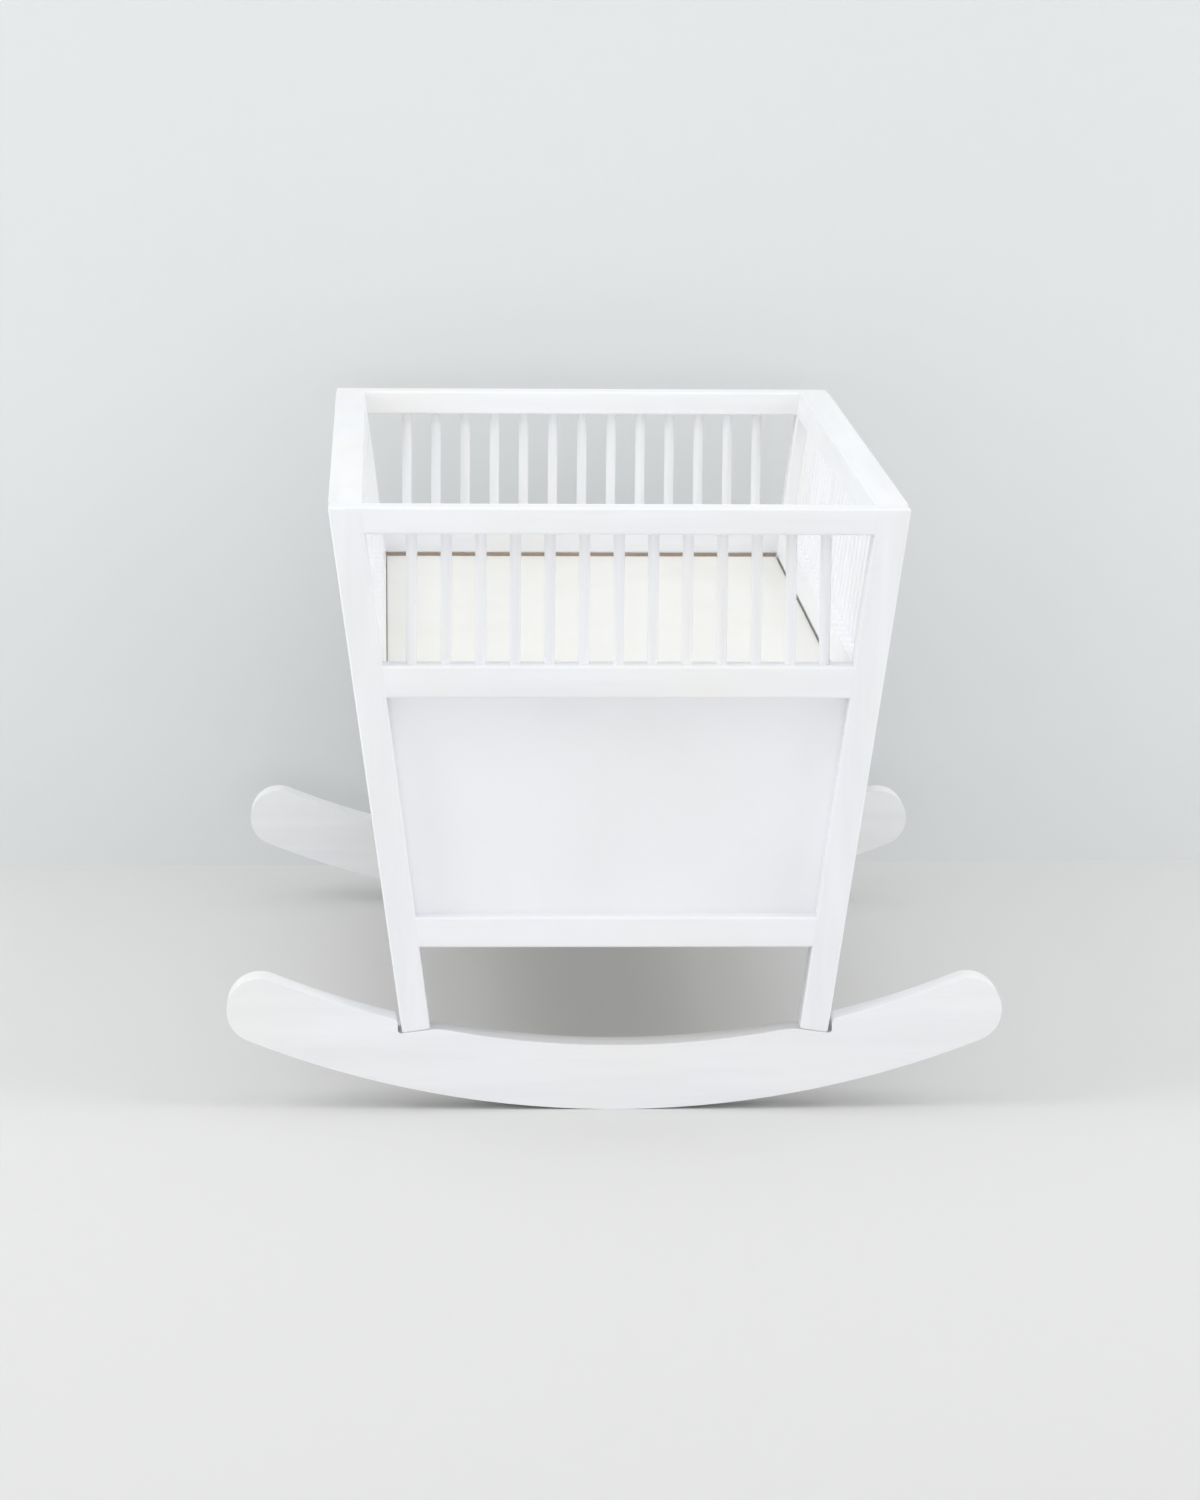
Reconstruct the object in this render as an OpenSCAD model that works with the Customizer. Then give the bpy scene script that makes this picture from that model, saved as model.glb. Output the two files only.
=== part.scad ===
// Rocking baby cradle: two leaning frame-and-panel ends, two leaning sides and a pair of runners.
// X runs across the cradle (the rocking direction), Y along it, Z up.
// The origin is on the floor, under the middle of the cradle. Front is -Y, left is -X.

/* [Overall size] */
// Length over the end frames
overall_length = 880; // [700:10:1100]
// Height of the rim above the floor
overall_height = 552; // [460:1:680]
// Width over the rim
top_width = 520; // [420:1:640]
// Lean of the legs and sides from the vertical, in degrees
lean_angle = 7.885; // [4:0.005:10]

/* [Frame timber] */
// Depth of the end frames along the cradle
frame_depth = 30; // [26:0.5:40]
// Width of a leg at the rim
leg_width_top = 30; // [27:0.5:40]
// Width of a leg at its foot
leg_width_foot = 25.6; // [24:0.1:34]
// Height of the top rails
top_rail_h = 24; // [20:0.5:34]
// Height of the middle rails
middle_rail_h = 29; // [26:0.5:40]
// Height of the bottom rails
bottom_rail_h = 28; // [26:0.5:40]
// Clear height between a top rail and a middle rail
slat_opening_h = 119; // [80:1:160]
// Height of the bottom rails above the floor
leg_clear_h = 151; // [130:1:180]

/* [Spindles] */
// Diameter of a spindle
spindle_d = 10; // [7:0.1:12]
// Distance from one spindle to the next
spindle_pitch = 30.9; // [24:0.1:60]
// Least distance from a leg to the centre of the first spindle
spindle_margin = 25.5; // [20:0.5:30]
// Depth of a spindle's socket in a rail
socket_depth = 10; // [6:0.5:12]

/* [Panels] */
// Thickness of a panel
panel_t = 6; // [4:0.5:8]
// Setback of a panel from the outside face
panel_setback = 18; // [14:0.5:20]
// Depth of the panel grooves in the end frames and the side rails
groove_depth = 8; // [5:0.5:9]
// Depth of the side panels' grooves in the legs
leg_groove_depth = 5; // [3:0.5:5]

/* [Runners] */
// Radius of the curve that rocks on the floor
runner_radius = 890; // [700:5:1100]
// Width of the runner's band
runner_height = 60; // [50:1:72]
// Width over the runner's ends
runner_span = 704; // [620:2:800]
// How far the leg's outer corner sits below the top of the runner
seat_depth = 11.6; // [8:0.1:14]
// Gap between the leg's outer face and the wall of its notch
notch_gap = 3.8; // [3.6:0.1:6]
// Rounding of the notch's upper corner
shoulder_r = 5; // [2:0.5:8]
// Rounding of the notch's lower corner
notch_r = 3; // [1:0.5:3]
// Rounding where the notch floor runs out into the top curve
crest_r = 60; // [20:5:80]

/* [Base] */
// Thickness of the loose base board
base_t = 8; // [4:0.5:12]
// Gap between the base board and the middle rails above it
base_drop = 3; // [3:0.5:12]
// Gap round the base board, where it lifts out past the middle rails
base_gap = 1; // [0.5:0.5:4]
// Width of the base battens
batten_w = 18; // [14:0.5:24]
// Height of the base battens
batten_h = 20; // [16:0.5:30]
// Distance between the pins that hold a batten, at most
pin_spacing = 220; // [120:10:300]

/* [Joinery] */
// Length of a tenon
tenon_l = 14; // [8:0.5:14]
// Thickness of a tenon
tenon_t = 10; // [6:0.5:10]
// Depth of the shoulder above and below a tenon
tenon_shoulder = 4; // [3:0.5:6]
// Diameter of the side rails' dowels
dowel_d = 8; // [6:0.5:8]
// Diameter of the cam bolts
cam_bolt_d = 6; // [4:0.5:6]
// Diameter of the cam discs
cam_d = 12; // [10:0.5:12]
// Least thickness of the white cap over a cam disc
cam_cap_t = 1.5; // [1:0.1:3]
// Distance from a cam disc's centre to the end of its rail
cam_reach = 24; // [20:0.5:28]
// Least wood between a cam disc and the first side spindle
cam_wall = 1.5; // [1:0.5:3]
// Diameter of the dowels between a leg and its runner
foot_dowel_d = 6; // [4:0.5:6]
// Diameter of the screw that holds a leg to its runner
runner_screw_d = 6; // [4:0.5:7]
// Gap round a glued joint, on each side
glue_gap = 0.1; // [0.05:0.05:0.2]
// Gap left at the bottom of a blind hole or groove
end_gap = 0.6; // [0.3:0.1:1]

/* [Hidden] */

LEFT = -1;
RIGHT = 1;
FRONT = -1;
REAR = 1;
paint = [0.95, 0.95, 0.96];
board_white = [0.95, 0.95, 0.93];
bare_wood = [0.80, 0.66, 0.47];
steel = [0.72, 0.73, 0.75];
$fn = 48;
arc_fn = 720;
past = 1; // how far a cutter runs past a face

// Lengthwise: the outside and inside faces of an end frame, and the middle of its timber.
end_y = overall_length / 2;
inner_y = end_y - frame_depth;
mid_y = end_y - frame_depth / 2;
inside_length = 2 * inner_y;

// Heights of the rails.
top_rail_z = overall_height - top_rail_h;
middle_rail_top = top_rail_z - slat_opening_h;
middle_rail_z = middle_rail_top - middle_rail_h;
bottom_rail_z = leg_clear_h;
bottom_rail_top = bottom_rail_z + bottom_rail_h;
panel_z = bottom_rail_top - groove_depth + end_gap;
panel_top = middle_rail_z + groove_depth - end_gap;

// The leaning outside face, the runner's top curve, and the leg's foot in its notch.
lean = tan(lean_angle);
function outer_x(z) = top_width / 2 - lean * (overall_height - z);
runner_top_r = runner_radius - runner_height;
function runner_top_z(x) = runner_radius - sqrt(runner_top_r * runner_top_r - x * x);
first_foot_z = runner_top_z(outer_x(runner_height)) - seat_depth;
foot_z = runner_top_z(outer_x(first_foot_z)) - seat_depth;
foot_x = outer_x(foot_z);
foot_in_x = foot_x - leg_width_foot;
foot_in_z = foot_z + lean * leg_width_foot;
rim_in_x = top_width / 2 - leg_width_top;
inner_lean = (rim_in_x - foot_in_x) / (overall_height - foot_in_z);
function inner_x(z) = rim_in_x - inner_lean * (overall_height - z);

// Spindles: as many as fit between the legs at the given pitch. The sides' stay clear of the cam discs.
function spindle_gaps(opening, margin) = floor((opening - 2 * margin) / spindle_pitch);
function spindle_places(opening, margin) = [for (i = [0 : spindle_gaps(opening, margin)])
    (i - spindle_gaps(opening, margin) / 2) * spindle_pitch];
side_margin = max(spindle_margin, cam_reach + (cam_d + spindle_d) / 2 + cam_wall);
end_places = spindle_places(2 * inner_x(middle_rail_top), spindle_margin);
side_places = spindle_places(inside_length, side_margin);
spindle_low = middle_rail_top - socket_depth + end_gap;
spindle_high = top_rail_z + socket_depth - end_gap;

// Base board and battens. The board clears the inner faces of the middle rails above it.
base_top = middle_rail_z - base_drop;
base_z = base_top - base_t;
base_half_w = inner_x(middle_rail_z) - base_gap;
base_half_l = inner_y - base_gap;
batten_z = base_z - batten_h;
panel_back = panel_setback + panel_t;
batten_in_x = outer_x(batten_z) - panel_back - batten_w;
batten_in_y = end_y - panel_back - batten_w;
pin_z = batten_z + batten_h / 2;
pin_d = 1.8;
pin_bite = 4;
pin_inset = 1;
function pin_places(length) = [for (i = [0 : ceil(length / pin_spacing) - 1])
    (i + 0.5) * length / ceil(length / pin_spacing) - length / 2];
side_pin_places = pin_places(inside_length);
end_pin_places = pin_places(2 * batten_in_x);

// Side rail joints: the dowel and the cam bolt side by side, at a height clear of the grooves.
joint_shift = 1.5;
joint_heights = [
    top_rail_z + top_rail_h / 2,
    middle_rail_z + middle_rail_h / 2 + joint_shift,
    bottom_rail_z + bottom_rail_h / 2 - joint_shift
];
dowel_from_face = 8;
cam_from_face = 19;
leg_hole_depth = 12;
dowel_rail_depth = 16;
cam_y = inner_y - cam_reach;
cam_reach_in = 6;
cam_slot_w = 1.4;
cam_slot_depth = 2;
cam_cap_back = cam_cap_t + cam_d / 2 * inner_lean;
cam_sink = cam_cap_back + end_gap;
tenon_setback = 4;

// Leg to runner joint, in the leg's own leaning direction.
foot_dowel_spread = 9;
foot_dowel_bite = 14;
screw_head_depth = 32;
screw_head_d = 13;
screw_head_h = 5;
screw_bite = 50;
bore_d = 15;
bore_l = 60;

// Draws its child for the given side and end from the right-hand front one.
module place(side, end) {
    mirror([side == LEFT ? 1 : 0, 0, 0])
        mirror([0, end == REAR ? 1 : 0, 0])
            children();
}

// Stands a shape drawn in X and Z upright, from y0 to y1.
module slab(y0, y1) {
    translate([0, y1, 0]) rotate([90, 0, 0]) linear_extrude(y1 - y0) children();
}

// A round bar along Y from y0 to y1.
module bar_y(x, z, y0, y1, d) {
    translate([x, y0, z]) rotate([-90, 0, 0]) cylinder(d = d, h = y1 - y0);
}

// A round bar along X from x0 to x1.
module bar_x(y, z, x0, x1, d) {
    translate([x0, y, z]) rotate([0, 90, 0]) cylinder(d = d, h = x1 - x0);
}

// ---- End frames, drawn for the front end and the right-hand leg ----

module leg_outline() {
    polygon([
        [top_width / 2, overall_height],
        [foot_x, foot_z],
        [foot_in_x, foot_in_z],
        [rim_in_x, overall_height]
    ]);
}

// A stretch of an end rail or panel between the legs, reaching past them by the given length.
module between_legs(z0, z1, reach) {
    polygon([
        [-inner_x(z0) - reach, z0], [inner_x(z0) + reach, z0],
        [inner_x(z1) + reach, z1], [-inner_x(z1) - reach, z1]
    ]);
}

// Places something at the leg's foot, standing along the leg.
module at_foot(y_offset) {
    translate([(foot_x + foot_in_x) / 2, -mid_y + y_offset, (foot_z + foot_in_z) / 2])
        rotate([0, lean_angle, 0])
            children();
}

module foot_dowel(extra_d, extra_l) {
    translate([0, 0, -foot_dowel_bite - extra_l])
        cylinder(d = foot_dowel_d + extra_d, h = 2 * (foot_dowel_bite + extra_l));
}

module runner_screw_shank(extra_d, extra_l) {
    translate([0, 0, -screw_head_depth - extra_l])
        cylinder(d = runner_screw_d + extra_d, h = screw_head_depth + screw_bite + 2 * extra_l);
}

module foot_joint_holes() {
    for (side = [-1, 1])
        at_foot(side * foot_dowel_spread) foot_dowel(2 * glue_gap, end_gap);
    at_foot(0) runner_screw_shank(2 * glue_gap, end_gap);
}

// The mortise for one rail's tenon, in a leg.
module tenon_shape(z0, z1, extra, extra_l) {
    slab(-end_y + tenon_setback - extra, -end_y + tenon_setback + tenon_t + extra)
        between_legs(z0 + tenon_shoulder - extra, z1 - tenon_shoulder + extra, tenon_l + extra_l);
}

module leg(side, end) {
    place(side, end) difference() {
        slab(-end_y, -inner_y) leg_outline();
        for (rail = [[top_rail_z, overall_height], [middle_rail_z, middle_rail_top],
                     [bottom_rail_z, bottom_rail_top]])
            tenon_shape(rail[0], rail[1], glue_gap, end_gap);
        slab(-end_y + panel_setback - glue_gap, -end_y + panel_back + glue_gap)
            between_legs(bottom_rail_top - groove_depth, middle_rail_z + groove_depth, groove_depth);
        slab(-inner_y - leg_groove_depth, -inner_y + past)
            side_panel_section(bottom_rail_top - groove_depth, middle_rail_z + groove_depth, glue_gap);
        for (z = joint_heights) {
            bar_y(outer_x(z) - dowel_from_face, z, -inner_y - leg_hole_depth, -inner_y + past,
                  dowel_d + 2 * glue_gap);
            bar_y(outer_x(z) - cam_from_face, z, -inner_y - leg_hole_depth, -inner_y + past,
                  cam_bolt_d + 2 * glue_gap);
        }
        foot_joint_holes();
    }
}

module end_spindle_holes(z0) {
    for (x = end_places)
        translate([x, -mid_y, z0]) cylinder(d = spindle_d + 2 * glue_gap, h = socket_depth + past);
}

module end_panel_groove(z0) {
    slab(-end_y + panel_setback - glue_gap, -end_y + panel_back + glue_gap)
        between_legs(z0, z0 + groove_depth + past, groove_depth);
}

module end_rail(end, z0, z1) {
    place(RIGHT, end) difference() {
        union() {
            slab(-end_y, -inner_y) between_legs(z0, z1, 0);
            tenon_shape(z0, z1, 0, 0);
        }
        children();
    }
}

module end_top_rail(end) {
    end_rail(end, top_rail_z, overall_height) end_spindle_holes(top_rail_z - past);
}

module end_middle_rail(end) {
    end_rail(end, middle_rail_z, middle_rail_top) {
        end_spindle_holes(middle_rail_top - socket_depth);
        end_panel_groove(middle_rail_z - past);
    }
}

module end_bottom_rail(end) {
    end_rail(end, bottom_rail_z, bottom_rail_top) end_panel_groove(bottom_rail_top - groove_depth);
}

module end_panel(end) {
    place(RIGHT, end) difference() {
        slab(-end_y + panel_setback, -end_y + panel_back)
            between_legs(panel_z, panel_top, groove_depth - end_gap);
        end_batten_pins(2 * glue_gap, end_gap);
    }
}

module end_spindles(end) {
    place(RIGHT, end)
        for (x = end_places)
            translate([x, -mid_y, spindle_low]) cylinder(d = spindle_d, h = spindle_high - spindle_low);
}

// ---- Long sides, drawn for the right-hand side ----

module side_rail_section(z0, z1) {
    polygon([
        [inner_x(z0), z0], [outer_x(z0), z0],
        [outer_x(z1), z1], [inner_x(z1), z1]
    ]);
}

module side_panel_section(z0, z1, extra) {
    polygon([
        [outer_x(z0) - panel_back - extra, z0], [outer_x(z0) - panel_setback + extra, z0],
        [outer_x(z1) - panel_setback + extra, z1], [outer_x(z1) - panel_back - extra, z1]
    ]);
}

module side_spindle(y, extra_d, z0, z1) {
    middle = (top_rail_z + middle_rail_top) / 2;
    x = (outer_x(middle) + inner_x(middle)) / 2;
    translate([x, y, middle])
        rotate([0, lean_angle, 0])
            translate([0, 0, (z0 - middle) / cos(lean_angle)])
                cylinder(d = spindle_d + extra_d, h = (z1 - z0) / cos(lean_angle));
}

module side_spindle_holes(z0, z1) {
    for (y = side_places)
        side_spindle(y, 2 * glue_gap, z0, z1);
}

// The holes in both ends of one side rail for its dowels, cam bolts and cam discs.
module side_joint_holes(z) {
    for (end = [FRONT, REAR])
        place(RIGHT, end) {
            bar_y(outer_x(z) - dowel_from_face, z, -inner_y - past, -inner_y + dowel_rail_depth,
                  dowel_d + 2 * glue_gap);
            bar_y(outer_x(z) - cam_from_face, z, -inner_y - past, -cam_y, cam_bolt_d + 2 * glue_gap);
            bar_x(-cam_y, z, inner_x(z) - 2 * past, outer_x(z) - cam_from_face + cam_reach_in,
                  cam_d + 2 * glue_gap);
        }
}

module side_panel_groove(z0) {
    slab(-inner_y - past, inner_y + past)
        side_panel_section(z0, z0 + groove_depth + past, glue_gap);
}

module side_rail(side, z0, z1, joint_z) {
    place(side, FRONT) difference() {
        slab(-inner_y, inner_y) side_rail_section(z0, z1);
        side_joint_holes(joint_z);
        children();
    }
}

module side_top_rail(side) {
    side_rail(side, top_rail_z, overall_height, joint_heights[0])
        side_spindle_holes(top_rail_z - past, top_rail_z + socket_depth);
}

module side_middle_rail(side) {
    side_rail(side, middle_rail_z, middle_rail_top, joint_heights[1]) {
        side_spindle_holes(middle_rail_top - socket_depth, middle_rail_top + past);
        side_panel_groove(middle_rail_z - past);
    }
}

module side_bottom_rail(side) {
    side_rail(side, bottom_rail_z, bottom_rail_top, joint_heights[2])
        side_panel_groove(bottom_rail_top - groove_depth);
}

module side_panel(side) {
    place(side, FRONT) difference() {
        slab(-inner_y - leg_groove_depth + end_gap, inner_y + leg_groove_depth - end_gap)
            side_panel_section(panel_z, panel_top, 0);
        side_batten_pins(2 * glue_gap, end_gap);
    }
}

module side_spindles(side) {
    place(side, FRONT)
        for (y = side_places)
            side_spindle(y, 0, spindle_low, spindle_high);
}

// ---- Runners, drawn for the front end ----

// The runner's curved band with its two round ends.
module runner_band() {
    end_r = runner_height / 2;
    band_r = runner_radius - end_r;
    end_angle = asin((runner_span / 2 - end_r) / band_r);
    reach = 2 * runner_radius;
    translate([0, runner_radius]) {
        intersection() {
            difference() {
                circle(r = runner_radius, $fn = arc_fn);
                circle(r = runner_top_r, $fn = arc_fn);
            }
            polygon([[0, 0], [-reach * sin(end_angle), -reach * cos(end_angle)],
                     [0, -2 * reach], [reach * sin(end_angle), -reach * cos(end_angle)]]);
        }
        for (side = [-1, 1])
            rotate(side * end_angle) translate([0, -band_r]) circle(r = end_r, $fn = 96);
    }
}

wall_x = foot_x + notch_gap;
wall_z = foot_z - lean * notch_gap;
shoulder_c = [wall_x + shoulder_r,
              runner_radius - sqrt(pow(runner_top_r + shoulder_r, 2) - pow(wall_x + shoulder_r, 2))];
shoulder_out = (shoulder_c - [0, runner_radius]) / norm(shoulder_c - [0, runner_radius]);
along_seat = [-cos(lean_angle), sin(lean_angle)];
into_runner = [-sin(lean_angle), -cos(lean_angle)];
notch_c = [wall_x - notch_r, wall_z + (notch_r + notch_r * sin(lean_angle)) / cos(lean_angle)];
crest_start = [wall_x, wall_z] + crest_r * into_runner;
crest_b = along_seat * (crest_start - [0, runner_radius]);
crest_q = pow(norm(crest_start - [0, runner_radius]), 2) - pow(runner_top_r + crest_r, 2);
crest_c = crest_start + along_seat * (-crest_b - sqrt(crest_b * crest_b - crest_q));
crest_out = (crest_c - [0, runner_radius]) / norm(crest_c - [0, runner_radius]);

// The notch that the right-hand leg stands in: an upright wall, a floor square to the leg, and the
// corner between them left round.
module notch() {
    run = 60;
    difference() {
        polygon([
            [wall_x, wall_z],
            [wall_x, wall_z + run],
            [wall_x, wall_z + run] + run * along_seat,
            [wall_x, wall_z] + run * along_seat
        ]);
        difference() {
            polygon([
                notch_c,
                [wall_x + past, notch_c[1]],
                [wall_x + past, wall_z - past],
                notch_c + (notch_r + past) * into_runner
            ]);
            translate(notch_c) circle(r = notch_r, $fn = 64);
        }
    }
}

// What the rounding of the notch's upper corner takes off.
module shoulder_waste() {
    difference() {
        polygon([
            shoulder_c,
            [wall_x - past, shoulder_c[1]],
            [wall_x - past, shoulder_c[1] + 2 * shoulder_r],
            [0, runner_radius] + (runner_top_r - shoulder_r) * shoulder_out
        ]);
        translate(shoulder_c) circle(r = shoulder_r, $fn = 64);
    }
}

// What the rounding where the notch runs out takes off.
module crest_waste() {
    difference() {
        polygon([
            crest_c,
            crest_c - (crest_r + shoulder_r) * into_runner,
            [0, runner_radius] + (runner_top_r - shoulder_r) * crest_out
        ]);
        translate(crest_c) circle(r = crest_r, $fn = 360);
    }
}

module runner_outline() {
    difference() {
        runner_band();
        for (side = [0, 1])
            mirror([side, 0]) {
                notch();
                shoulder_waste();
                crest_waste();
            }
    }
}

module runner(end) {
    place(RIGHT, end) difference() {
        slab(-end_y, -inner_y) runner_outline();
        for (side = [LEFT, RIGHT])
            place(side, FRONT) {
                foot_joint_holes();
                at_foot(0) translate([0, 0, -screw_head_depth - bore_l]) cylinder(d = bore_d, h = bore_l);
            }
    }
}

// ---- Base ----

module base_board_shape() {
    translate([-base_half_w, -base_half_l, base_z]) cube([2 * base_half_w, 2 * base_half_l, base_t]);
}

module side_batten(side) {
    place(side, FRONT) difference() {
        slab(-inner_y + glue_gap, inner_y - glue_gap)
            polygon([
                [batten_in_x, batten_z], [outer_x(batten_z) - panel_back, batten_z],
                [outer_x(base_z) - panel_back, base_z], [batten_in_x, base_z]
            ]);
        side_batten_pins(2 * glue_gap, end_gap);
    }
}

module end_batten(end) {
    place(RIGHT, end) difference() {
        translate([-batten_in_x + glue_gap, -end_y + panel_back, batten_z])
            cube([2 * (batten_in_x - glue_gap), batten_w, batten_h]);
        end_batten_pins(2 * glue_gap, end_gap);
    }
}

// ---- Fasteners ----

// Pins through the right-hand batten into its panel.
module side_batten_pins(extra_d, extra_l) {
    for (y = side_pin_places)
        bar_x(y, pin_z, batten_in_x + pin_inset - extra_l,
              outer_x(pin_z) - panel_back + pin_bite + extra_l, pin_d + extra_d);
}

// Pins through the front batten into its panel.
module end_batten_pins(extra_d, extra_l) {
    for (x = end_pin_places)
        bar_y(x, pin_z, -end_y + panel_back - pin_bite - extra_l, -batten_in_y - pin_inset + extra_l,
              pin_d + extra_d);
}

module all_corners() {
    for (side = [LEFT, RIGHT])
        for (end = [FRONT, REAR])
            place(side, end) children();
}

module side_rail_dowels() {
    color(bare_wood) all_corners()
        for (z = joint_heights)
            bar_y(outer_x(z) - dowel_from_face, z, -inner_y - leg_hole_depth + end_gap,
                  -inner_y + dowel_rail_depth - end_gap, dowel_d);
}

module cam_bolts() {
    color(steel) all_corners()
        for (z = joint_heights)
            bar_y(outer_x(z) - cam_from_face, z, -inner_y - leg_hole_depth + end_gap, -cam_y, cam_bolt_d);
}

module cam_discs() {
    color(steel) all_corners()
        for (z = joint_heights)
            difference() {
                bar_x(-cam_y, z, inner_x(z) + cam_sink, outer_x(z) - cam_from_face + cam_reach_in - glue_gap,
                      cam_d);
                bar_y(outer_x(z) - cam_from_face, z, -cam_y - cam_d, -cam_y + end_gap,
                      cam_bolt_d + 2 * glue_gap);
                translate([inner_x(z) + cam_sink - past, -cam_y - cam_d / 3, z - cam_slot_w / 2])
                    cube([cam_slot_depth + past, 2 * cam_d / 3, cam_slot_w]);
            }
}

// Caps over the cam discs, flush with the leaning inside face of the rail.
module cam_caps() {
    color(paint) all_corners()
        for (z = joint_heights)
            intersection() {
                bar_x(-cam_y, z, inner_x(z) - cam_d, inner_x(z) + cam_cap_back, cam_d);
                slab(-inner_y, -inner_y + 2 * cam_reach) side_rail_section(z - cam_d, z + cam_d);
            }
}

module foot_dowels() {
    color(bare_wood) all_corners()
        for (side = [-1, 1])
            at_foot(side * foot_dowel_spread) foot_dowel(0, 0);
}

module runner_screws() {
    color(steel) all_corners() at_foot(0) {
        runner_screw_shank(0, 0);
        translate([0, 0, -screw_head_depth - screw_head_h])
            difference() {
                cylinder(d = screw_head_d, h = screw_head_h);
                translate([0, 0, -past]) cylinder(d = runner_screw_d, h = screw_head_h / 2 + past, $fn = 6);
            }
    }
}

module batten_pins() {
    color(steel) {
        for (side = [LEFT, RIGHT])
            place(side, FRONT) side_batten_pins(0, 0);
        for (end = [FRONT, REAR])
            place(RIGHT, end) end_batten_pins(0, 0);
    }
}

// ---- Named pieces ----

module front_left_leg() { color(paint) leg(LEFT, FRONT); }
module front_right_leg() { color(paint) leg(RIGHT, FRONT); }
module rear_left_leg() { color(paint) leg(LEFT, REAR); }
module rear_right_leg() { color(paint) leg(RIGHT, REAR); }
module front_top_rail() { color(paint) end_top_rail(FRONT); }
module front_middle_rail() { color(paint) end_middle_rail(FRONT); }
module front_bottom_rail() { color(paint) end_bottom_rail(FRONT); }
module front_panel() { color(paint) end_panel(FRONT); }
module front_spindles() { color(paint) end_spindles(FRONT); }
module rear_top_rail() { color(paint) end_top_rail(REAR); }
module rear_middle_rail() { color(paint) end_middle_rail(REAR); }
module rear_bottom_rail() { color(paint) end_bottom_rail(REAR); }
module rear_panel() { color(paint) end_panel(REAR); }
module rear_spindles() { color(paint) end_spindles(REAR); }
module left_top_rail() { color(paint) side_top_rail(LEFT); }
module left_middle_rail() { color(paint) side_middle_rail(LEFT); }
module left_bottom_rail() { color(paint) side_bottom_rail(LEFT); }
module left_panel() { color(paint) side_panel(LEFT); }
module left_spindles() { color(paint) side_spindles(LEFT); }
module right_top_rail() { color(paint) side_top_rail(RIGHT); }
module right_middle_rail() { color(paint) side_middle_rail(RIGHT); }
module right_bottom_rail() { color(paint) side_bottom_rail(RIGHT); }
module right_panel() { color(paint) side_panel(RIGHT); }
module right_spindles() { color(paint) side_spindles(RIGHT); }
module front_runner() { color(paint) runner(FRONT); }
module rear_runner() { color(paint) runner(REAR); }
module base_board() { color(board_white) base_board_shape(); }
module left_batten() { color(bare_wood) side_batten(LEFT); }
module right_batten() { color(bare_wood) side_batten(RIGHT); }
module front_batten() { color(bare_wood) end_batten(FRONT); }
module rear_batten() { color(bare_wood) end_batten(REAR); }

front_left_leg();
front_right_leg();
rear_left_leg();
rear_right_leg();
front_top_rail();
front_middle_rail();
front_bottom_rail();
front_panel();
front_spindles();
rear_top_rail();
rear_middle_rail();
rear_bottom_rail();
rear_panel();
rear_spindles();
left_top_rail();
left_middle_rail();
left_bottom_rail();
left_panel();
left_spindles();
right_top_rail();
right_middle_rail();
right_bottom_rail();
right_panel();
right_spindles();
front_runner();
rear_runner();
base_board();
left_batten();
right_batten();
front_batten();
rear_batten();
side_rail_dowels();
cam_bolts();
cam_discs();
cam_caps();
foot_dowels();
runner_screws();
batten_pins();
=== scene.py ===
import math

import bmesh
import bpy
from mathutils import Matrix, Vector


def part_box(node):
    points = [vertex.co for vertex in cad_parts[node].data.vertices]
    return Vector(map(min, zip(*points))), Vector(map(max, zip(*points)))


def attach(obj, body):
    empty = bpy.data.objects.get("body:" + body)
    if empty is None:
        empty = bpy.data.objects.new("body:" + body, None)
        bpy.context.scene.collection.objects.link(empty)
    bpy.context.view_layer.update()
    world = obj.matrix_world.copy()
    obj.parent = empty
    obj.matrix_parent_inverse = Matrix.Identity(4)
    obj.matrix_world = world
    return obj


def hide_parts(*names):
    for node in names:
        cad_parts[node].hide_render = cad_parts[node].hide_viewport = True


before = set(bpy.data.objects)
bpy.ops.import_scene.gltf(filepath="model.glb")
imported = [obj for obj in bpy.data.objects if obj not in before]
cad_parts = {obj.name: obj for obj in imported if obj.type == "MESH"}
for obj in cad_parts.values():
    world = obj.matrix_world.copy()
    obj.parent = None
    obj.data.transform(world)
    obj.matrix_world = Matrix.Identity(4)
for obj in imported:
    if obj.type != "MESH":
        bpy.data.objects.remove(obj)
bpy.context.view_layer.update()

ENDS = ("front", "rear")
SIDES = ("left", "right")
STEEL_NODES = ("cam_bolts", "cam_discs", "runner_screws", "batten_pins")
DOWEL_NODES = ("side_rail_dowels", "foot_dowels")
RAILS = ("top", "middle", "bottom")
MM = 0.001
EASE = 2.4 * MM  # rounding of the end frames' edges
FOOT_EASE = 2.0 * MM
HAIR = 0.004 * MM  # keeps neighbouring points apart where a rounding has run out
ARC_STEPS = 4
RAMP = (0.0, 0.12, 0.3, 0.55, 0.8, 1.0)  # how a rounding runs out past the end of an opening
RUN_OUT = 0.995  # the share of EASE past an opening from which a rounding narrows no more
RAIL_SHARES = (-1.0, -0.5, 0.0, 0.5, 1.0)  # where an end rail's rings stand, from leg to leg
TOP_BAND = 0.1 * MM  # points this near a leg's highest one belong to its top
RUNNER_EASE = 3.0 * MM
SIDE_RAIL_EASE = 1.6 * MM
BOARD_EASE = 0.4 * MM
WELD_REACH = 0.01 * MM
FLAT = math.radians(0.2)  # faces that meet at less than this count as one face
SMOOTH_BELOW = math.radians(50)
NORMAL_WEIGHT = 90
ROOM = 14.0
ROOM_HEIGHT = 6.0
WALL_Y = 0.604
WALL_TURN = math.radians(1.64)


# ---- Shader building ----


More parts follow.
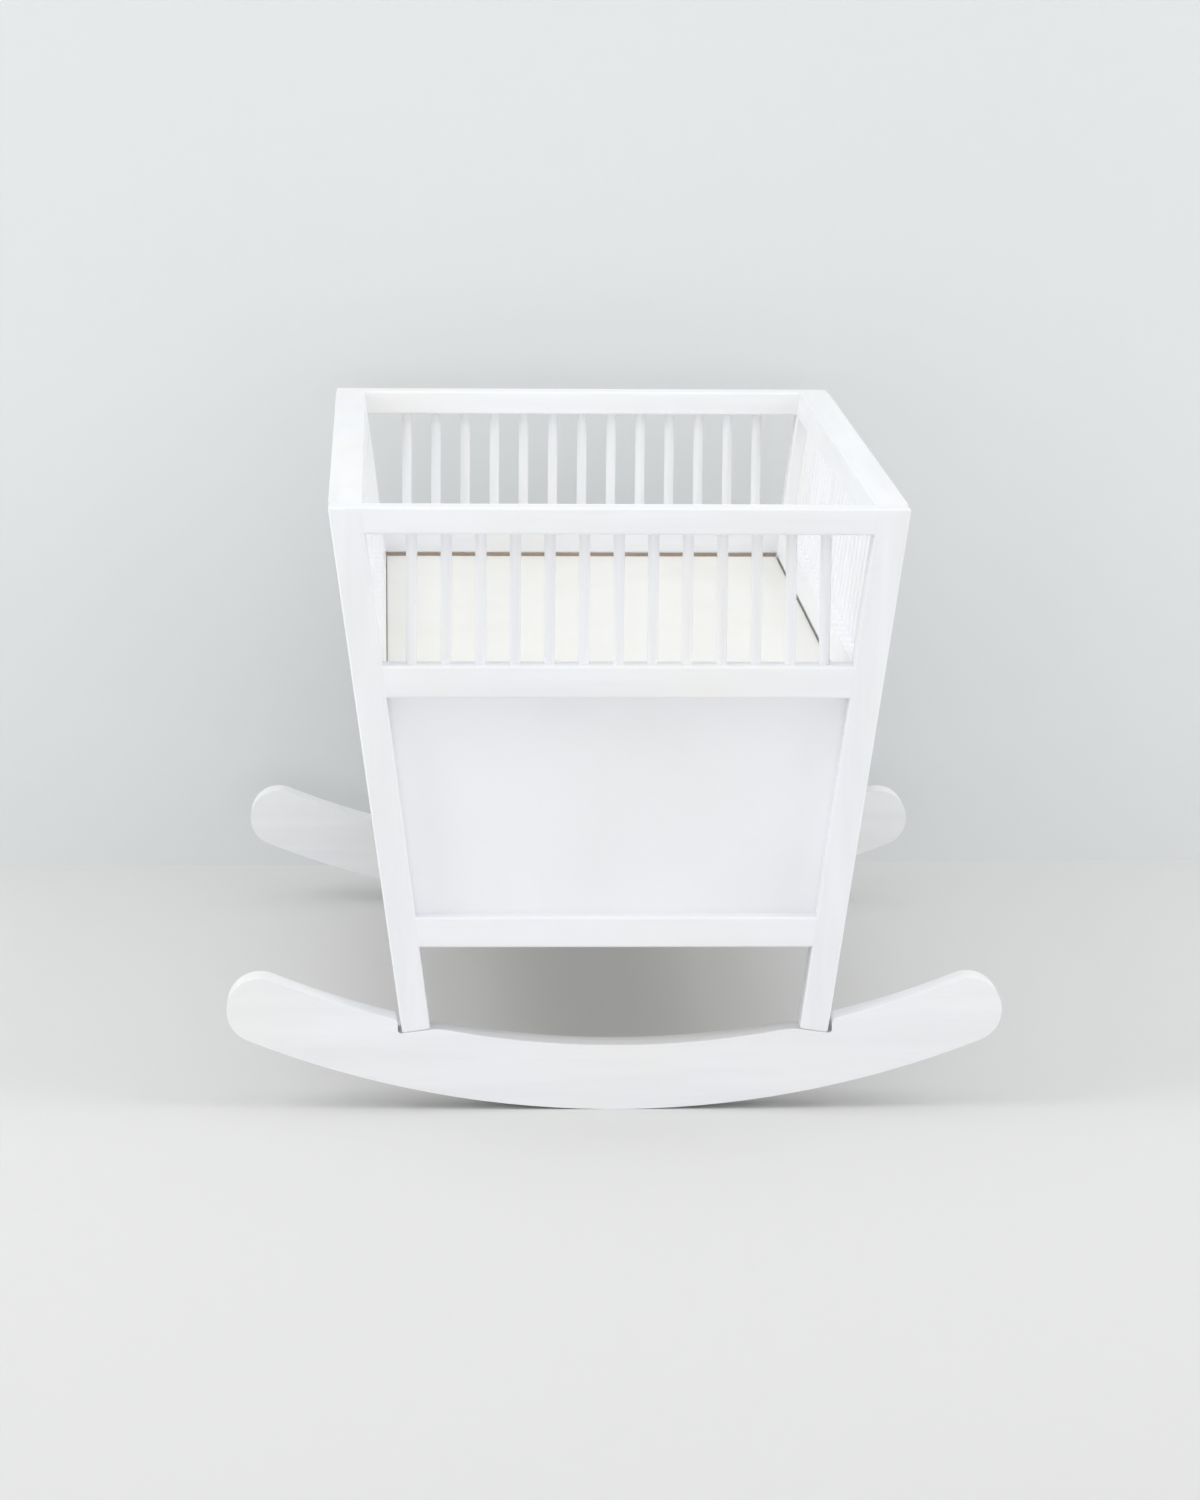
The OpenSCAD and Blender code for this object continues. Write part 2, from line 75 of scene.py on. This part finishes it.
class Nodes:
    """A new material whose nodes are added and wired by short calls."""

    def __init__(self, name):
        self.material = bpy.data.materials.new(name)
        self.material.use_nodes = True
        self.tree = self.material.node_tree
        self.tree.nodes.clear()
        self.shader = self.add("ShaderNodeBsdfPrincipled")
        output = self.add("ShaderNodeOutputMaterial")
        self.link(self.shader.outputs["BSDF"], output.inputs["Surface"])

    def add(self, kind, **settings):
        node = self.tree.nodes.new(kind)
        for key, value in settings.items():
            setattr(node, key, value)
        return node

    def link(self, source, target):
        self.tree.links.new(source, target)

    def put(self, source, target):
        """Wires source into target if it is a socket, or sets target to it if it is a value."""
        if isinstance(source, bpy.types.NodeSocket):
            self.link(source, target)
        else:
            target.default_value = source

    def coords(self, scale=(1, 1, 1), turn=(0, 0, 0)):
        """The object's own coordinates in metres, turned and scaled."""
        source = self.add("ShaderNodeTexCoord").outputs["Object"]
        mapping = self.add("ShaderNodeMapping")
        self.link(source, mapping.inputs["Vector"])
        mapping.inputs["Rotation"].default_value = turn
        mapping.inputs["Scale"].default_value = scale
        return mapping.outputs["Vector"]

    def noise(self, vector, scale, detail=3.0, roughness=0.5):
        node = self.add("ShaderNodeTexNoise")
        self.link(vector, node.inputs["Vector"])
        node.inputs["Scale"].default_value = scale
        node.inputs["Detail"].default_value = detail
        node.inputs["Roughness"].default_value = roughness
        return node.outputs["Fac"]

    def spots(self, vector, scale, low, high):
        """A mask of small round spots, one to a cell."""
        node = self.add("ShaderNodeTexVoronoi")
        self.link(vector, node.inputs["Vector"])
        node.inputs["Scale"].default_value = scale
        return self.ramp(node.outputs["Distance"], low, high, 1.0, 0.0)

    def ramp(self, value, low, high, out_low=0.0, out_high=1.0):
        """Maps value from low..high to out_low..out_high, held at the ends."""
        node = self.add("ShaderNodeMapRange")
        self.link(value, node.inputs["Value"])
        node.inputs["From Min"].default_value = low
        node.inputs["From Max"].default_value = high
        node.inputs["To Min"].default_value = out_low
        node.inputs["To Max"].default_value = out_high
        return node.outputs["Result"]

    def math(self, operation, a, b):
        node = self.add("ShaderNodeMath", operation=operation)
        self.put(a, node.inputs[0])
        self.put(b, node.inputs[1])
        return node.outputs["Value"]

    def mix(self, factor, a, b):
        """A colour between a and b."""
        node = self.add("ShaderNodeMix", data_type="RGBA")
        self.put(factor, node.inputs["Factor"])
        self.put(a, node.inputs["A"])
        self.put(b, node.inputs["B"])
        return node.outputs["Result"]

    def color(self, source):
        self.put(source, self.shader.inputs["Base Color"])

    def roughness(self, source):
        self.put(source, self.shader.inputs["Roughness"])

    def bump(self, layers):
        """Stacks (height, depth in metres) layers into the shader's normal."""
        normal = None
        for height, depth in layers:
            node = self.add("ShaderNodeBump")
            self.link(height, node.inputs["Height"])
            node.inputs["Distance"].default_value = depth
            if normal is not None:
                self.link(normal, node.inputs["Normal"])
            normal = node.outputs["Normal"]
        self.link(normal, self.shader.inputs["Normal"])


def srgb(red, green, blue):
    """A linear colour with alpha from 8-bit display values."""

    def linear(value):
        value /= 255
        return value / 12.92 if value <= 0.04045 else ((value + 0.055) / 1.055) ** 2.4

    return (linear(red), linear(green), linear(blue), 1.0)


def along(axis, fine, coarse):
    """A coordinate scale that stretches a pattern out along one axis."""
    return tuple(coarse if i == axis else fine for i in range(3))


# ---- Materials ----


def painted_wood(name, axis):
    """Satin white paint over timber whose grain runs along the axis and shows through a little."""
    n = Nodes(name)
    grain = n.noise(n.coords(along(axis, 1.0, 0.035)), 420.0, 4.0, 0.6)
    figure = n.noise(n.coords(along(axis, 1.0, 0.09)), 46.0, 3.0, 0.55)
    strokes = n.noise(n.coords(along(axis, 1.0, 0.02)), 900.0, 2.0, 0.5)
    stipple = n.noise(n.coords(), 1500.0, 2.0, 0.6)
    cloud = n.noise(n.coords(), 7.0, 3.0, 0.5)
    nibs = n.spots(n.coords(), 70.0, 0.03, 0.06)
    tone = n.mix(n.ramp(figure, 0.35, 0.7), srgb(246, 247, 250), srgb(239, 240, 243))
    tone = n.mix(n.ramp(cloud, 0.45, 0.75, 0.0, 0.55), tone, srgb(243, 242, 237))
    n.color(tone)
    n.roughness(n.math("ADD", n.ramp(cloud, 0.3, 0.7, 0.34, 0.44), n.ramp(stipple, 0.3, 0.7, -0.03, 0.03)))
    n.bump([(figure, 0.00025), (grain, 0.00012), (strokes, 0.00004), (stipple, 0.00003), (nibs, 0.0001)])
    n.shader.inputs["Specular IOR Level"].default_value = 0.45
    n.shader.inputs["Coat Weight"].default_value = 0.12
    n.shader.inputs["Coat Roughness"].default_value = 0.28
    return n.material


def panel_board(name, bare_inside):
    """Thin fibreboard painted white, with the face that looks inwards bare and pale tan if asked."""
    n = Nodes(name)
    position = n.add("ShaderNodeTexCoord")
    flat = n.add("ShaderNodeVectorMath", operation="MULTIPLY")
    n.link(position.outputs["Object"], flat.inputs[0])
    flat.inputs[1].default_value = (1.0, 1.0, 0.0)
    facing = n.add("ShaderNodeVectorMath", operation="DOT_PRODUCT")
    n.link(flat.outputs["Vector"], facing.inputs[0])
    n.link(position.outputs["Normal"], facing.inputs[1])
    bare = n.math("LESS_THAN", facing.outputs["Value"], 0.15)
    fibres = n.noise(n.coords((1.0, 1.0, 1.0), (0.5, 0.4, 0.3)), 900.0, 4.0, 0.7)
    felt = n.noise(n.coords(), 160.0, 4.0, 0.65)
    roller = n.noise(n.coords(), 620.0, 3.0, 0.6)
    cloud = n.noise(n.coords(), 5.0, 2.0, 0.5)
    tan = n.mix(n.ramp(felt, 0.3, 0.7), srgb(250, 236, 222), srgb(240, 222, 204))
    tan = n.mix(n.ramp(fibres, 0.54, 0.74), tan, srgb(216, 192, 168))
    white = n.mix(n.ramp(cloud, 0.35, 0.7), srgb(246, 247, 250), srgb(240, 241, 243))
    if bare_inside:
        n.color(n.mix(bare, white, tan))
        n.roughness(n.ramp(bare, 0.0, 1.0, 0.42, 0.85))
    else:
        n.color(white)
        n.roughness(n.ramp(cloud, 0.3, 0.7, 0.4, 0.48))
    n.bump([(roller, 0.00008), (fibres, 0.00006)])
    return n.material


def base_board_paint():
    """Warm white rolled paint on a sheet board."""
    n = Nodes("base_board_white")
    roller = n.noise(n.coords(), 540.0, 3.0, 0.6)
    cloud = n.noise(n.coords(), 4.0, 3.0, 0.5)
    specks = n.spots(n.coords(), 45.0, 0.02, 0.05)
    white = n.mix(n.ramp(cloud, 0.35, 0.7), srgb(249, 248, 244), srgb(243, 242, 237))
    n.color(n.mix(n.math("MULTIPLY", specks, 0.12), white, srgb(214, 208, 196)))
    n.roughness(n.ramp(cloud, 0.3, 0.7, 0.46, 0.56))
    n.bump([(roller, 0.0001), (cloud, 0.0006)])
    return n.material


def bare_beech(name, axis):
    """Planed beech with its fine brown flecks."""
    n = Nodes(name)
    rings = n.noise(n.coords(along(axis, 1.0, 0.05)), 95.0, 4.0, 0.6)
    flecks = n.noise(n.coords(along(axis, 1.0, 0.12)), 850.0, 2.0, 0.6)
    wood = n.mix(n.ramp(rings, 0.3, 0.7), srgb(222, 190, 150), srgb(198, 160, 118))
    n.color(n.mix(n.ramp(flecks, 0.58, 0.72, 0.0, 0.7), wood, srgb(160, 118, 82)))
    n.roughness(n.ramp(rings, 0.3, 0.7, 0.55, 0.7))
    n.bump([(rings, 0.0002), (flecks, 0.00008)])
    return n.material


def zinc_steel():
    """Bright zinc plating, a little cloudy, with fine drawing marks."""
    n = Nodes("zinc_steel")
    cloud = n.noise(n.coords(), 380.0, 3.0, 0.6)
    marks = n.noise(n.coords((0.1, 1.0, 1.0)), 2600.0, 2.0, 0.5)
    n.color(n.mix(n.ramp(cloud, 0.35, 0.65), srgb(196, 200, 206), srgb(172, 175, 180)))
    n.shader.inputs["Metallic"].default_value = 1.0
    n.roughness(n.ramp(cloud, 0.3, 0.7, 0.28, 0.42))
    n.bump([(marks, 0.00003)])
    return n.material


# ---- Shapes ----


def ease_edges(node, width, segments=3, angle=35.0):
    """Rounds a CAD node's sharp edges with modifiers, and leaves its mesh as it is."""
    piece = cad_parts[node]
    weld = piece.modifiers.new("weld", "WELD")
    weld.merge_threshold = WELD_REACH
    dissolve = piece.modifiers.new("one_face_each", "DECIMATE")
    dissolve.decimate_type = "DISSOLVE"
    dissolve.angle_limit = FLAT
    bevel = piece.modifiers.new("eased_edges", "BEVEL")
    bevel.limit_method = "ANGLE"
    bevel.angle_limit = math.radians(angle)
    bevel.width = width
    bevel.segments = segments
    bevel.use_clamp_overlap = True
    bevel.miter_outer = "MITER_ARC"
    normals = piece.modifiers.new("face_normals", "WEIGHTED_NORMAL")
    normals.keep_sharp = False
    normals.weight = NORMAL_WEIGHT


def finish_node(node, material):
    """Gives a CAD node its material."""
    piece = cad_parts[node]
    piece.data.materials.clear()
    piece.data.materials.append(material)


def loft(name, sections, material):
    """A closed solid through rings of points, all with the same number of points."""
    shape = bmesh.new()
    rings = [[shape.verts.new(point) for point in section] for section in sections]
    count = len(rings[0])
    for ring, after in zip(rings, rings[1:]):
        for i in range(count):
            j = (i + 1) % count
            shape.faces.new((ring[i], ring[j], after[j], after[i]))
    shape.faces.new(rings[0])
    shape.faces.new(rings[-1])
    bmesh.ops.recalc_face_normals(shape, faces=shape.faces)
    for face in shape.faces:
        face.smooth = True
    mesh = bpy.data.meshes.new(name)
    shape.to_mesh(mesh)
    shape.free()
    mesh.set_sharp_from_angle(angle=SMOOTH_BELOW)
    mesh.materials.append(material)
    piece = bpy.data.objects.new(name, mesh)
    bpy.context.collection.objects.link(piece)
    normals = piece.modifiers.new("face_normals", "WEIGHTED_NORMAL")
    normals.keep_sharp = True
    normals.weight = NORMAL_WEIGHT
    return piece


def stand_for(piece, node):
    """The piece takes the place of a CAD node of the fixed body."""
    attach(piece, "cradle")
    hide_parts(node)


def corner_profile(past_opening):
    """How far a corner is cut back (along the face, into its depth) at a place that lies past_opening beyond
    the end of an opening: the full rounding at 0 or less, and next to nothing from EASE on."""
    distance = min(max(past_opening, 0.0), EASE * RUN_OUT)
    reach = math.sqrt(EASE ** 2 - distance ** 2)
    points = []
    for step in range(ARC_STEPS + 1):
        across = reach * (1 - math.cos(math.pi / 2 * step / ARC_STEPS))
        from_corner = min(math.hypot(across, distance), EASE)
        depth = EASE - math.sqrt(max(EASE ** 2 - (EASE - from_corner) ** 2, 0.0))
        points.append((across, depth + HAIR * (ARC_STEPS - step)))
    return points


def leg_corners(node):
    """The leg's outline at its front or rear face: top and foot, outer and inner, as (distance from the
    middle of the cradle, height)."""
    points = {(round(abs(v.co.x), 6), round(v.co.z, 6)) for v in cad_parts[node].data.vertices}
    top = max(z for x, z in points)
    at_top = [x for x, z in points if z > top - TOP_BAND]
    foot_outer = min(points, key=lambda p: p[1])
    foot_inner = min(points, key=lambda p: p[0])
    return (max(at_top), top), (min(at_top), top), foot_outer, foot_inner


def line_x(a, b):
    """The distance out at a given height on the line through two (distance, height) points."""
    return lambda z: a[0] + (b[0] - a[0]) * (z - a[1]) / (b[1] - a[1])


def rail_heights(end):
    """(bottom, top) of the end's three rails, lowest first."""
    heights = []
    for rail in reversed(RAILS):
        low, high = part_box(f"{end}_{rail}_rail")
        heights.append((low.z, high.z))
    return heights


def leg_stations(end, top_z):
    """Heights up the leg, each with how far it lies beyond the nearest opening (0 when beside one)."""
    stations = []
    for low, high in rail_heights(end):
        for share in RAMP:
            stations.append((low + share * EASE, share * EASE))
        if high < top_z - EASE:
            for share in reversed(RAMP):
                stations.append((high - share * EASE, share * EASE))
    return stations


def leg_section(leg, heights, past_opening, inset):
    """One ring round a leg. heights is (outer, inner); inset is how far the outer, inner, front and back
    faces are drawn in."""
    outer_line, inner_line, front, back = leg
    outer = outer_line(heights[0]) - inset[0]
    inner = inner_line(heights[1]) + inset[1]
    front += inset[2]
    back -= inset[3]
    width = outer - inner
    ring = []
    full = corner_profile(0.0)
    part = corner_profile(past_opening)
    for (x, x_way, y, y_way, profile, from_side) in (
            (outer, -1, front, 1, full, True), (inner, 1, front, 1, part, False),
            (inner, 1, back, -1, part, True), (outer, -1, back, -1, full, False)):
        points = [(x + x_way * across, y + y_way * depth) for across, depth in profile]
        ring += points if from_side else points[::-1]
    rise = heights[1] - heights[0]
    return [(x, y, heights[0] + (outer - x) / width * rise) for x, y in ring]


def build_leg(end, side, material):
    node = f"{end}_{side}_leg"
    top_outer, top_inner, foot_outer, foot_inner = leg_corners(node)
    low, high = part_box(node)
    front = -max(abs(low.y), abs(high.y))
    back = -min(abs(low.y), abs(high.y))
    leg = (line_x(foot_outer, top_outer), line_x(foot_inner, top_inner), front, back)
    sections = []
    for step in range(ARC_STEPS + 1):
        turn = math.pi / 2 * step / ARC_STEPS
        up = FOOT_EASE * (1 - math.cos(turn))
        inset = FOOT_EASE * (1 - math.sin(turn))
        sections.append(leg_section(leg, (foot_outer[1] + up, foot_inner[1] + up), 0.0, (inset,) * 4))
    for height, past_opening in leg_stations(end, top_outer[1]):
        sections.append(leg_section(leg, (height, height), past_opening, (0.0,) * 4))
    for step in range(ARC_STEPS + 1):
        turn = math.pi / 2 * step / ARC_STEPS
        down = EASE * (1 - math.sin(turn))
        inset = EASE * (1 - math.cos(turn))
        height = top_outer[1] - down
        sections.append(leg_section(leg, (height, height), EASE, (inset, 0.0, inset, 0.0)))
    x_way = 1 if side == "right" else -1
    y_way = 1 if end == "front" else -1
    sections = [[(x_way * x, y_way * y, z) for x, y, z in ring] for ring in sections]
    stand_for(loft(f"{node}_eased", sections, material), node)


def build_end_rail(end, rail, material):
    """A rail with all four long edges eased, cut to the lean of the legs at its ends."""
    node = f"{end}_{rail}_rail"
    low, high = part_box(node)
    corners = leg_corners(f"{end}_right_leg")
    inner_line = line_x(corners[3], corners[1])
    full = corner_profile(0.0)
    ring = []
    for (y, y_way, z, z_way, from_side) in (
            (low.y, 1, low.z, 1, True), (high.y, -1, low.z, 1, False),
            (high.y, -1, high.z, -1, True), (low.y, 1, high.z, -1, False)):
        points = [(y + y_way * depth, z + z_way * across) for across, depth in full]
        ring += points if not from_side else points[::-1]
    sections = [[(share * inner_line(z), y, z) for y, z in ring] for share in RAIL_SHARES]
    stand_for(loft(f"{node}_eased", sections, material), node)


# ---- The cradle ----

leg_paint = painted_wood("white_paint_legs", 2)
cross_paint = painted_wood("white_paint_across", 0)
long_paint = painted_wood("white_paint_lengthwise", 1)
spindle_paint = painted_wood("white_paint_spindles", 2)
runner_paint = painted_wood("white_paint_runners", 0)
beech_x = bare_beech("beech_across", 0)
beech_y = bare_beech("beech_lengthwise", 1)
steel = zinc_steel()
end_board = panel_board("end_panel_board", True)
side_board = panel_board("side_panel_board", False)
board_paint = base_board_paint()

for end in ENDS:
    for side in SIDES:
        build_leg(end, side, leg_paint)
    for rail in RAILS:
        build_end_rail(end, rail, cross_paint)
    finish_node(f"{end}_panel", end_board)
    finish_node(f"{end}_spindles", spindle_paint)
    finish_node(f"{end}_runner", runner_paint)
    ease_edges(f"{end}_runner", RUNNER_EASE, 4, 30.0)
    finish_node(f"{end}_batten", beech_x)
for side in SIDES:
    for rail in RAILS:
        finish_node(f"{side}_{rail}_rail", long_paint)
        ease_edges(f"{side}_{rail}_rail", SIDE_RAIL_EASE)
    finish_node(f"{side}_panel", side_board)
    finish_node(f"{side}_spindles", spindle_paint)
    finish_node(f"{side}_batten", board_paint)
finish_node("base_board", board_paint)
ease_edges("base_board", BOARD_EASE, 2)
finish_node("cam_caps", long_paint)
for node in DOWEL_NODES:
    finish_node(node, beech_y)
for node in STEEL_NODES:
    finish_node(node, steel)


# ---- Studio ----


def plaster(name, tone, mottle):
    """Smooth matt paint for the floor and the wall."""
    n = Nodes(name)
    cloud = n.noise(n.coords(), 1.6, 3.0, 0.5)
    grit = n.noise(n.coords(), 260.0, 3.0, 0.6)
    light = srgb(*tone)
    dark = srgb(*(value - mottle for value in tone))
    n.color(n.mix(n.ramp(cloud, 0.35, 0.7), light, dark))
    n.roughness(n.ramp(grit, 0.3, 0.7, 0.68, 0.78))
    n.bump([(grit, 0.0003)])
    return n.material


def see_through_from_behind(material):
    """Hides the wall or the floor from a camera that stands behind or below it."""
    tree = material.node_tree
    output = next(node for node in tree.nodes if node.type == "OUTPUT_MATERIAL")
    paint = output.inputs["Surface"].links[0].from_socket
    side = tree.nodes.new("ShaderNodeNewGeometry")
    clear = tree.nodes.new("ShaderNodeBsdfTransparent")
    mix = tree.nodes.new("ShaderNodeMixShader")
    tree.links.new(side.outputs["Backfacing"], mix.inputs["Fac"])
    tree.links.new(paint, mix.inputs[1])
    tree.links.new(clear.outputs["BSDF"], mix.inputs[2])
    tree.links.new(mix.outputs["Shader"], output.inputs["Surface"])
    return material


def plane(name, centre, size, rotation, material):
    """A flat rectangle for the studio."""
    bpy.ops.mesh.primitive_plane_add(size=1.0, location=centre, rotation=rotation)
    piece = bpy.context.object
    piece.name = name
    piece.scale = (size[0], size[1], 1.0)
    piece.data.materials.append(material)
    return piece


def area_light(name, position, target, size, power):
    data = bpy.data.lights.new(name, "AREA")
    data.shape = "RECTANGLE"
    data.size, data.size_y = size
    data.energy = power
    lamp = bpy.data.objects.new(name, data)
    bpy.context.collection.objects.link(lamp)
    lamp.location = position
    lamp.rotation_euler = (Vector(target) - Vector(position)).to_track_quat("-Z", "Y").to_euler()


def studio():
    plane("floor", (0.0, 0.0, 0.0), (ROOM, ROOM), (0.0, 0.0, 0.0),
          see_through_from_behind(plaster("floor_paint", (223, 223, 222), 3)))
    plane("wall", (0.0, WALL_Y, ROOM_HEIGHT / 2), (ROOM, ROOM_HEIGHT), (math.radians(90), 0.0, WALL_TURN),
          see_through_from_behind(plaster("wall_paint", (228, 230, 230), 3)))
    world = bpy.data.worlds.new("soft_white")
    bpy.context.scene.world = world
    world.use_nodes = True
    sky = world.node_tree.nodes["Background"]
    sky.inputs["Color"].default_value = (0.985, 0.99, 1.0, 1.0)
    sky.inputs["Strength"].default_value = 0.64
    middle = (0.0, 0.0, 0.3)
    square = (2.0, 2.0)
    area_light("softbox_left", (-3.6, -1.2, 1.8), middle, square, 23.0)
    area_light("softbox_right", (3.6, -1.2, 1.8), middle, square, 20.0)
    area_light("softbox_high_left", (-3.0, -0.8, 3.0), middle, square, 34.0)
    area_light("softbox_high_right", (3.0, -0.8, 3.0), middle, square, 30.0)
    area_light("softbox_above", (0.0, -0.4, 3.6), (0.0, -0.4, 0.0), (3.0, 3.0), 10.0)
    area_light("strip_front", (-0.2, -5.2, 0.5), (0.0, 0.0, 0.2), (3.0, 0.8), 28.0)
    bpy.context.scene.view_settings.view_transform = "Standard"
    bpy.context.scene.view_settings.look = "None"


def camera():
    """A 120 mm lens, a little to the left of the cradle's middle and looking slightly down."""
    place = Vector((-0.2123, -4.846, 1.1942))
    yaw, pitch, roll = (math.radians(a) for a in (2.548, 11.048, -0.526))
    forward = Vector((math.sin(yaw) * math.cos(pitch), math.cos(yaw) * math.cos(pitch), -math.sin(pitch)))
    level = Vector((math.cos(yaw), -math.sin(yaw), 0.0))
    down = forward.cross(level)
    right = level * math.cos(roll) + down * math.sin(roll)
    up = level * math.sin(roll) - down * math.cos(roll)
    turn = Matrix((right, up, -forward)).transposed().to_4x4()
    data = bpy.data.cameras.new("camera")
    data.sensor_width = 36.0
    data.lens = 120.17
    eye = bpy.data.objects.new("camera", data)
    bpy.context.collection.objects.link(eye)
    eye.matrix_world = Matrix.Translation(place) @ turn
    bpy.context.scene.camera = eye


studio()
camera()
